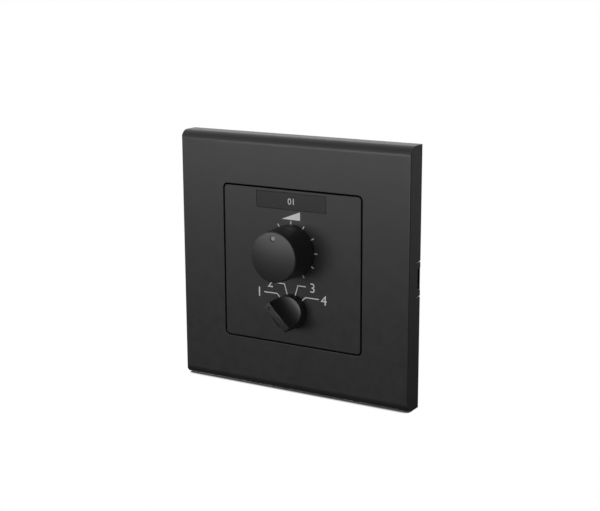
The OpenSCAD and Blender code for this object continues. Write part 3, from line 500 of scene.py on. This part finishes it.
# opens a node tree with named inputs, and gives it with their identifiers and sockets
def openTree(name, sockets):
    tree = bpy.data.node_groups.new(name, "GeometryNodeTree")
    tree.interface.new_socket(name="Geometry", in_out="OUTPUT", socket_type="NodeSocketGeometry")
    keys = {}
    for key, kind in sockets.items():
        socket = tree.interface.new_socket(name=key, in_out="INPUT", socket_type="NodeSocket" + kind)
        keys[key] = socket.identifier
    return tree, keys, tree.nodes.new("NodeGroupInput").outputs


# ends a node tree: copies of a shape on points, turned about an axis, made real and given their material
def endTree(tree, points, shape, axis, angle, material):
    turn = tree.nodes.new("FunctionNodeAxisAngleToRotation")
    setInputs(turn, {"Axis": axis})
    tree.links.new(angle, turn.inputs["Angle"])
    copies = tree.nodes.new("GeometryNodeInstanceOnPoints")
    tree.links.new(points, copies.inputs["Points"])
    tree.links.new(shape, copies.inputs["Instance"])
    tree.links.new(turn.outputs["Rotation"], copies.inputs["Rotation"])
    real = tree.nodes.new("GeometryNodeRealizeInstances")
    tree.links.new(copies.outputs["Instances"], real.inputs["Geometry"])
    painted = tree.nodes.new("GeometryNodeSetMaterial")
    tree.links.new(real.outputs["Geometry"], painted.inputs["Geometry"])
    tree.links.new(material, painted.inputs["Material"])
    tree.links.new(painted.outputs["Geometry"], tree.nodes.new("NodeGroupOutput").inputs["Geometry"])


# runs a node tree with its inputs set, on a start mesh if it has one, and keeps the result as a plain mesh
def grownMesh(name, tree, keys, values, start=None):
    draft = newDraft(name, start or bpy.data.meshes.new(name))
    grow = draft.modifiers.new("grow", "NODES")
    grow.node_group = tree
    for key, value in values.items():
        grow[keys[key]] = value
    return bakeDraft(draft, name)


def plateShape(tree, size):
    plate = tree.nodes.new("GeometryNodeMeshCube")
    tree.links.new(size, plate.inputs["Size"])
    return plate.outputs["Mesh"]


# ticks round the volume knob, from one end of its turn to the other
ticks = {"Count": 11, "Radius": 9.42 * mm, "Width": 0.34 * mm, "Length": 1.05 * mm}


def tickTree():
    sockets = {"Count": "Int", "Centre": "Vector", "Material": "Material"}
    for key in ("Start", "Step", "Radius", "Width", "Length", "Film"):
        sockets[key] = "Float"
    tree, keys, given = openTree("dialTicks", sockets)
    index = tree.nodes.new("GeometryNodeInputIndex").outputs["Index"]
    angle = mathNode(tree, "ADD", given["Start"], mathNode(tree, "MULTIPLY", index, given["Step"]))
    spot = tree.nodes.new("ShaderNodeCombineXYZ")
    for axis, wave in (("X", "SINE"), ("Z", "COSINE")):
        away = mathNode(tree, "MULTIPLY", mathNode(tree, wave, angle), given["Radius"])
        tree.links.new(away, spot.inputs[axis])
    place = tree.nodes.new("ShaderNodeVectorMath")
    place.operation = "ADD"
    tree.links.new(spot.outputs["Vector"], place.inputs[0])
    tree.links.new(given["Centre"], place.inputs[1])
    points = tree.nodes.new("GeometryNodePoints")
    tree.links.new(given["Count"], points.inputs["Count"])
    tree.links.new(place.outputs["Vector"], points.inputs["Position"])
    size = tree.nodes.new("ShaderNodeCombineXYZ")
    for axis, key in (("X", "Width"), ("Y", "Film"), ("Z", "Length")):
        tree.links.new(given[key], size.inputs[axis])
    plate = plateShape(tree, size.outputs["Vector"])
    endTree(tree, points.outputs[0], plate, (0, 1, 0), angle, given["Material"])
    return tree, keys


turnStart, turnEnd = (radians(limit) for limit in volumeJoint["range_deg"])
tickValues = {**ticks, "Start": turnStart, "Step": (turnEnd - turnStart) / (ticks["Count"] - 1),
              "Centre": onWall(0, volumeUp, frontOut + filmMiddle), "Film": filmDepth * mm,
              "Material": finishes["print_ink"]}
tickMesh = grownMesh("volumeTicks", *tickTree(), tickValues)
placeMesh("volumeTicks", tickMesh, "wall_unit", "print_ink")
print("prints made")


# the volume knob's pointer: paint on the floor of its dimple, a ball's print in the domed front, in mm

pointer = {"dimple": 2.0, "depth": 0.5, "at": 6.3, "dome": 60.0, "paint": 1.55, "film": 0.02,
           "rings": 6, "sides": 40, "smooth": radians(50), "color": (0.36, 0.36, 0.36)}


# one skin of the paint: its middle point and the rings round it, at a radius from the ball's middle
def paintRows(bm, up, out, radius, reach):
    turns = [2 * pi * k / pointer["sides"] for k in range(pointer["sides"])]
    rows = [[bm.verts.new(onWall(0, up, out - radius))]]
    for i in range(1, pointer["rings"] + 1):
        tilt = reach * i / pointer["rings"]
        wide, deep = radius * sin(tilt), radius * cos(tilt)
        rows.append([bm.verts.new(onWall(wide * cos(t), up + wide * sin(t), out - deep)) for t in turns])
    return rows


def pointerPaint():
    half, depth = pointer["dimple"] / 2, pointer["depth"]
    ball = (half * half + depth * depth) / (2 * depth)
    fall = pointer["dome"] - sqrt(pointer["dome"] ** 2 - pointer["at"] ** 2)
    out = -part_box("volume_knob")[0].y / mm - fall + ball - depth
    reach = asin(pointer["paint"] / 2 / ball)
    bm = bmesh.new()
    skins = [paintRows(bm, volumeUp + pointer["at"], out, radius, reach)
             for radius in (ball - pointer["film"], ball + pointer["film"] / 2)]
    front, back = (rows[-1] for rows in skins)
    for k in range(pointer["sides"]):
        for rows in skins:
            bm.faces.new((rows[0][0], rows[1][k - 1], rows[1][k]))
            for inner, outer in zip(rows[1:], rows[2:]):
                bm.faces.new((inner[k - 1], outer[k - 1], outer[k], inner[k]))
        bm.faces.new((front[k - 1], back[k - 1], back[k], front[k]))
    bmesh.ops.recalc_face_normals(bm, faces=bm.faces)
    mesh = closeMesh(bm, "volumePointer")
    shadeSmooth(mesh, pointer["smooth"])
    paint = printedInk("pointerPaint", pointer["color"])
    placeMesh("volumePointer", mesh, "volume", "print_ink", finish=paint)


pointerPaint()
print("pointer painted")


# pieces behind the panel and in the wall box, the first with the widths of their eased edges in mm

easedBehind = {"mounting_frame": ("wallFrame", 0.15), "volume_can": ("volumeCan", 0.3),
               "switch_body": ("switchTube", 0.2), "terminal_block": ("terminalBlock", 0.2),
               "volume_nut": ("volumeNut", 0.15), "selector_nut": ("selectorNut", 0.15)}
smoothBehind = {"terminal_board": "terminalBoard", "board_screws": "boardScrews",
                "panel_screws": "panelScrews", "terminal_screws": "terminalScrews"}
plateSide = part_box("faceplate_frame")[1].x


# an edge that no pry notch shows
def offNotch(edge, margin=2.5):
    return all(abs(v.co.x) < plateSide - margin * mm for v in edge.verts)


for node, (piece, ease) in easedBehind.items():
    easedNode(node, piece, ease, offNotch)
for node, piece in smoothBehind.items():
    smoothNode(node, piece)


# the separate solids of a node, each as a list of points
def solidPoints(node):
    bm = openNode(node)
    mergePoints(bm)
    groups = []
    for seed in bm.verts:
        if seed.tag:
            continue
        seed.tag = True
        group, waiting = [], [seed]
        while waiting:
            vert = waiting.pop()
            group.append(vert.co.copy())
            for edge in vert.link_edges:
                other = edge.other_vert(vert)
                if not other.tag:
                    other.tag = True
                    waiting.append(other)
        groups.append(group)
    bm.free()
    return groups


def boxOf(points):
    return [Vector([pick(p[i] for p in points) for i in range(3)]) for pick in (min, max)]


# where the solids of a node come through a face of the board, towards larger (1) or smaller (-1) y
def pinsThrough(node, face, side, past=0.2):
    places = []
    for solid in solidPoints(node):
        low, high = boxOf([p for p in solid if (p.y - face) * side > past * mm])
        places.append(Vector(((low.x + high.x) / 2, face, (low.z + high.z) / 2)))
    return places


def pointMesh(points):
    mesh = bpy.data.meshes.new("points")
    mesh.from_pydata(points, [], [])
    return mesh


# copies of one shape on the points of a mesh, each turned about X by one angle
def copiesTree(name, sockets, shape):
    sockets = {"Geometry": "Geometry", **sockets, "Turn": "Float", "Material": "Material"}
    tree, keys, given = openTree(name, sockets)
    endTree(tree, given["Geometry"], shape(tree, given), (1, 0, 0), given["Turn"], given["Material"])
    return tree, keys


# solder round the pins, on both faces of the board
solder = {"Foot": 1.0 * mm, "Neck": 0.5 * mm, "Height": 0.8 * mm, "Hollow": 1.1}
solderFacets = {"Vertices": 24, "Side Segments": 6}
solderEdge = radians(45)  # sharper edges stay crisp
rearward, forward = radians(-90), radians(90)  # turns that lay the cones' tips to the rear and to the front
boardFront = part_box("terminal_board")[0].y
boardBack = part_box("terminal_board")[1].y


# a joint of solder: a cone with a hollow flank
def solderShape(tree, given):
    cone = tree.nodes.new("GeometryNodeMeshCone")
    setInputs(cone, solderFacets)
    for socket, key in (("Radius Top", "Neck"), ("Radius Bottom", "Foot"), ("Depth", "Height")):
        tree.links.new(given[key], cone.inputs[socket])
    split = tree.nodes.new("ShaderNodeSeparateXYZ")
    tree.links.new(tree.nodes.new("GeometryNodeInputPosition").outputs["Position"], split.inputs["Vector"])
    share = mathNode(tree, "DIVIDE", split.outputs["Z"], given["Height"])
    waist = mathNode(tree, "MULTIPLY", share, mathNode(tree, "SUBTRACT", 1.0, share))
    scale = mathNode(tree, "SUBTRACT", 1.0, mathNode(tree, "MULTIPLY", waist, given["Hollow"]))
    spot = tree.nodes.new("ShaderNodeCombineXYZ")
    for axis in "XY":
        tree.links.new(mathNode(tree, "MULTIPLY", split.outputs[axis], scale), spot.inputs[axis])
    tree.links.new(split.outputs["Z"], spot.inputs["Z"])
    bent = tree.nodes.new("GeometryNodeSetPosition")
    tree.links.new(cone.outputs["Mesh"], bent.inputs["Geometry"])
    tree.links.new(spot.outputs["Vector"], bent.inputs["Position"])
    smooth = tree.nodes.new("GeometryNodeSetShadeSmooth")
    tree.links.new(bent.outputs["Geometry"], smooth.inputs["Geometry"])
    return smooth.outputs["Geometry"]


solderTree, solderKeys = copiesTree("solderJoints", {key: "Float" for key in solder}, solderShape)
rearPins = pinsThrough("volume_pins", boardBack, 1) + pinsThrough("fixed_contacts", boardBack, 1)
frontPins = pinsThrough("terminal_cages", boardFront, -1)
for piece, pins, turn in (("boardSolder", rearPins, rearward), ("blockSolder", frontPins, forward)):
    values = {**solder, "Turn": turn, "Material": finishes["tinned_pins"]}
    joints = grownMesh(piece, solderTree, solderKeys, values, pointMesh(pins))
    joints.set_sharp_from_angle(angle=solderEdge)
    placeMesh(piece, joints, "wall_unit", "tinned_pins")

# tinned caps on both ends of each chip, in mm
chipEnds = {"length": 0.6, "over": 0.03}
endsTree, endsKeys = copiesTree("chipEnds", {"Size": "Vector"},
                                lambda tree, given: plateShape(tree, given["Size"]))
for node, piece in (("ladder_resistors", "resistorEnds"), ("filter_capacitors", "capacitorEnds")):
    chips = [boxOf(solid) for solid in solidPoints(node)]
    inset = (chipEnds["length"] / 2 - chipEnds["over"]) * mm
    ends = []
    for low, high in chips:
        middle = (low + high) / 2
        ends += [Vector((middle.x, middle.y, z)) for z in (low.z + inset, high.z - inset)]
    low, high = chips[0]
    size = high - low + Vector((1, 1, 1)) * 2 * chipEnds["over"] * mm
    size.z = chipEnds["length"] * mm
    values = {"Size": size, "Turn": 0.0, "Material": finishes["tinned_pins"]}
    caps = grownMesh(piece, endsTree, endsKeys, values, pointMesh(ends))
    placeMesh(piece, caps, "wall_unit", "tinned_pins")

# copper lines under the lacquer of the board's rear face, in mm: routes of one half, mirrored, and of the
# middle
traces = {"width": 0.8, "color": (0.03, 0.125, 0.052), "rough": 0.36,
          "sides": [[(3.82, -10.78), (10.9, -10.78), (12.0, -11.1)],
                    [(1.4, -9.38), (2.7, -8.1), (14.6, -8.1), (14.6, -17.4), (13.6, -18.1), (12.0, -18.1)],
                    [(12.0, -13.6), (12.0, -15.6)],
                    [(12.0, -14.6), (8.4, -14.6), (6.6, -16.4)],
                    [(5.0, 16.15), (5.0, 14.4), (7.4, 11.7), (9.0, 11.7)],
                    [(9.0, 9.1), (9.0, 6.8), (5.08, 4.4), (5.08, 2.0)]],
          "middle": [[(0.0, 16.15), (0.0, 2.0)],
                     [(0.0, -17.3), (0.0, -5.0)]]}
traceRoutes = traces["middle"] + [line for route in traces["sides"] for line in bothSides(route)]
traceOut = -boardBack / mm - ink["stands"] + ink["sinks"]  # the film faces the rear
traceMesh = inkLines(traceRoutes, traces["width"], traceOut)
printPiece("boardTraces", traceMesh, "board_laminate",
           boardLaminate("tracedLaminate", traces["color"], traces["rough"]))

# CAD nodes that stay get their finishes
for node in frame["nodes"].values():
    if not node.hide_render:
        for spot in node.material_slots:
            spot.material = finishes[spot.material.name]
print("inner pieces finished")


# stage, light and camera

# levels along a colour ramp: (position, level)
def greyRamp(tree, levels):
    ramp = tree.nodes.new("ShaderNodeValToRGB")
    stops = ramp.color_ramp.elements
    while len(stops) < len(levels):
        stops.new(0.5)
    for stop, (place, level) in zip(stops, levels):
        stop.position = place
        stop.color = (level, level, level, 1)
    return ramp


# 1 for the rays that see the white studio as it is
def seenRays(tree):
    path = tree.nodes.new("ShaderNodeLightPath")
    return mathNode(tree, "MAXIMUM", path.outputs["Is Camera Ray"], path.outputs["Is Transmission Ray"])


# the floor: its drop below the plate in mm, its radius in m, and its painted shadow's reach in mm and levels
stage = {"drop": 0.02, "radius": 0.5, "sides": 96, "reach": 8.0, "samples": 32,
         "paintedShadow": [(0.0, 0.02), (0.26, 0.08), (0.5, 1.0)]}


# a white floor with a painted contact shadow, darker where the plate stands close; clear from below and for
# the light
def floorWithPaintedShadow():
    bm = bmesh.new()
    bmesh.ops.create_circle(bm, cap_ends=True, segments=stage["sides"], radius=stage["radius"])
    bmesh.ops.translate(bm, verts=bm.verts, vec=(0, 0, cadBox[0][2] - stage["drop"] * mm))
    floor = bpy.data.objects.new("floor", closeMesh(bm, "floor"))
    scene.collection.objects.link(floor)
    material, tree, _ = newFinish("floorWithPaintedShadow")
    near = tree.nodes.new("ShaderNodeAmbientOcclusion")
    near.samples = stage["samples"]
    setInputs(near, {"Distance": stage["reach"] * mm})
    # painted shadow: the glow falls from white to dark where the occlusion finds the plate close
    paintedShade = greyRamp(tree, stage["paintedShadow"])
    tree.links.new(near.outputs["AO"], paintedShade.inputs["Fac"])
    white = tree.nodes.new("ShaderNodeEmission")
    tree.links.new(paintedShade.outputs["Color"], white.inputs["Color"])
    clear = tree.nodes.new("ShaderNodeBsdfTransparent")
    above = mathNode(tree, "SUBTRACT", 1.0, tree.nodes.new("ShaderNodeNewGeometry").outputs["Backfacing"])
    mix = tree.nodes.new("ShaderNodeMixShader")
    tree.links.new(mathNode(tree, "MULTIPLY", seenRays(tree), above), mix.inputs["Fac"])
    tree.links.new(clear.outputs["BSDF"], mix.inputs[1])
    tree.links.new(white.outputs["Emission"], mix.inputs[2])
    tree.links.new(mix.outputs["Shader"], tree.nodes["Material Output"].inputs["Surface"])
    floor.data.materials.append(material)


# brightness of the room by height, as (sine of the elevation, level), for its left and right walls in front
# and behind; each half turns from left to right between two values of x, and front to back between two of y
room = {"front": {"left": [(-1.0, 0.0), (-0.1, 0.0), (0.06, 0.22), (0.25, 0.54), (0.5, 0.66), (0.75, 0.47),
                           (1.0, 0.41)],
                  "right": [(-1.0, 0.62), (-0.5, 0.5), (-0.3, 0.1), (0.0, 0.1), (0.15, 0.4), (0.5, 0.0),
                            (1.0, 0.0)],
                  "turn": (0.32, 0.54)},
        "back": {"left": [(-1.0, 0.01), (-0.4, 0.09), (-0.25, 0.53), (-0.1, 0.79), (0.06, 1.07), (0.5, 1.04),
                          (0.9, 0.71), (1.0, 0.74)],
                 "right": [(-1.0, 0.0), (-0.3, 0.05), (-0.1, 0.45), (0.1, 0.08), (0.5, 0.0), (1.0, 0.0)],
                 "turn": (-0.4, 0.35)}}
frontToBack = (-0.35, 0.35)


# one colour to the other by a factor
def blend(tree, factor, first, second):
    mix = tree.nodes.new("ShaderNodeMix")
    mix.data_type = "RGBA"
    tree.links.new(factor, mix.inputs["Factor"])
    for name, color in (("A", first), ("B", second)):
        socket = next(s for s in mix.inputs if s.name == name and s.type == "RGBA")
        if isinstance(color, tuple):
            socket.default_value = color
        else:
            tree.links.new(color, socket)
    return next(s for s in mix.outputs if s.type == "RGBA")


def studioRoom():
    world = bpy.data.worlds.new("studioRoom")
    scene.world = world
    world.use_nodes = True
    tree = world.node_tree
    coords = tree.nodes.new("ShaderNodeTexCoord")
    split = tree.nodes.new("ShaderNodeSeparateXYZ")
    tree.links.new(coords.outputs["Generated"], split.inputs["Vector"])
    high = mapRange(tree, split.outputs["Z"], (-1, 1))
    halves = []
    for walls in room.values():
        colors = []
        for side in ("left", "right"):
            ramp = greyRamp(tree, [((height + 1) / 2, level) for height, level in walls[side]])
            tree.links.new(high, ramp.inputs["Fac"])
            colors.append(ramp.outputs["Color"])
        toRight = mapRange(tree, split.outputs["X"], walls["turn"], way="SMOOTHSTEP")
        halves.append(blend(tree, toRight, *colors))
    toBack = mapRange(tree, split.outputs["Y"], frontToBack, way="SMOOTHSTEP")
    shown = blend(tree, seenRays(tree), blend(tree, toBack, *halves), (1, 1, 1, 1))
    tree.links.new(shown, tree.nodes["Background"].inputs["Color"])


# two wide soft boxes on the left, in degrees and m: one in front, and one low behind, which lights the rear
softBoxes = {"frontBox": {"turn": -15.0, "height": 5.0, "away": 0.9, "size": (1.026, 0.342), "level": 3.4},
             "rearBox": {"turn": -140.0, "height": -18.0, "away": 0.9, "size": (1.2, 0.6), "level": 1.8}}


def softBox(name, settings):
    lamp = bpy.data.lights.new(name, "AREA")
    lamp.shape = "RECTANGLE"
    lamp.size, lamp.size_y = settings["size"]
    lamp.energy = pi * lamp.size * lamp.size_y * settings["level"]
    box = bpy.data.objects.new(name, lamp)
    scene.collection.objects.link(box)
    turn, height = radians(settings["turn"]), radians(settings["height"])
    way = Vector((sin(turn) * cos(height), -cos(turn) * cos(height), sin(height)))
    box.location = way * settings["away"]
    box.rotation_euler = way.to_track_quat("Z", "Y").to_euler()
    box.visible_camera = False


# the photo's view: place, aim and near limit in m, roll in degrees, lens and sensor in mm
shot = {"place": (0.211887, -0.35928, 0.098095), "aim": (0.003392, -0.007932, 0.004626), "roll": -0.2315,
        "lens": 76.963, "sensor": 36, "near": 0.01}


def photoCamera():
    lens = bpy.data.cameras.new("photoCamera")
    lens.lens = shot["lens"]
    lens.sensor_width = shot["sensor"]
    lens.clip_start = shot["near"]
    camera = bpy.data.objects.new("photoCamera", lens)
    scene.collection.objects.link(camera)
    camera.location = shot["place"]
    look = (Vector(shot["aim"]) - camera.location).to_track_quat("-Z", "Y").to_matrix()
    camera.rotation_euler = (look @ Matrix.Rotation(radians(shot["roll"]), 3, "Z")).to_euler()
    scene.camera = camera


floorWithPaintedShadow()
studioRoom()
for name, settings in softBoxes.items():
    softBox(name, settings)
photoCamera()
scene.view_settings.view_transform = "Standard"
print("stage, light and camera set")
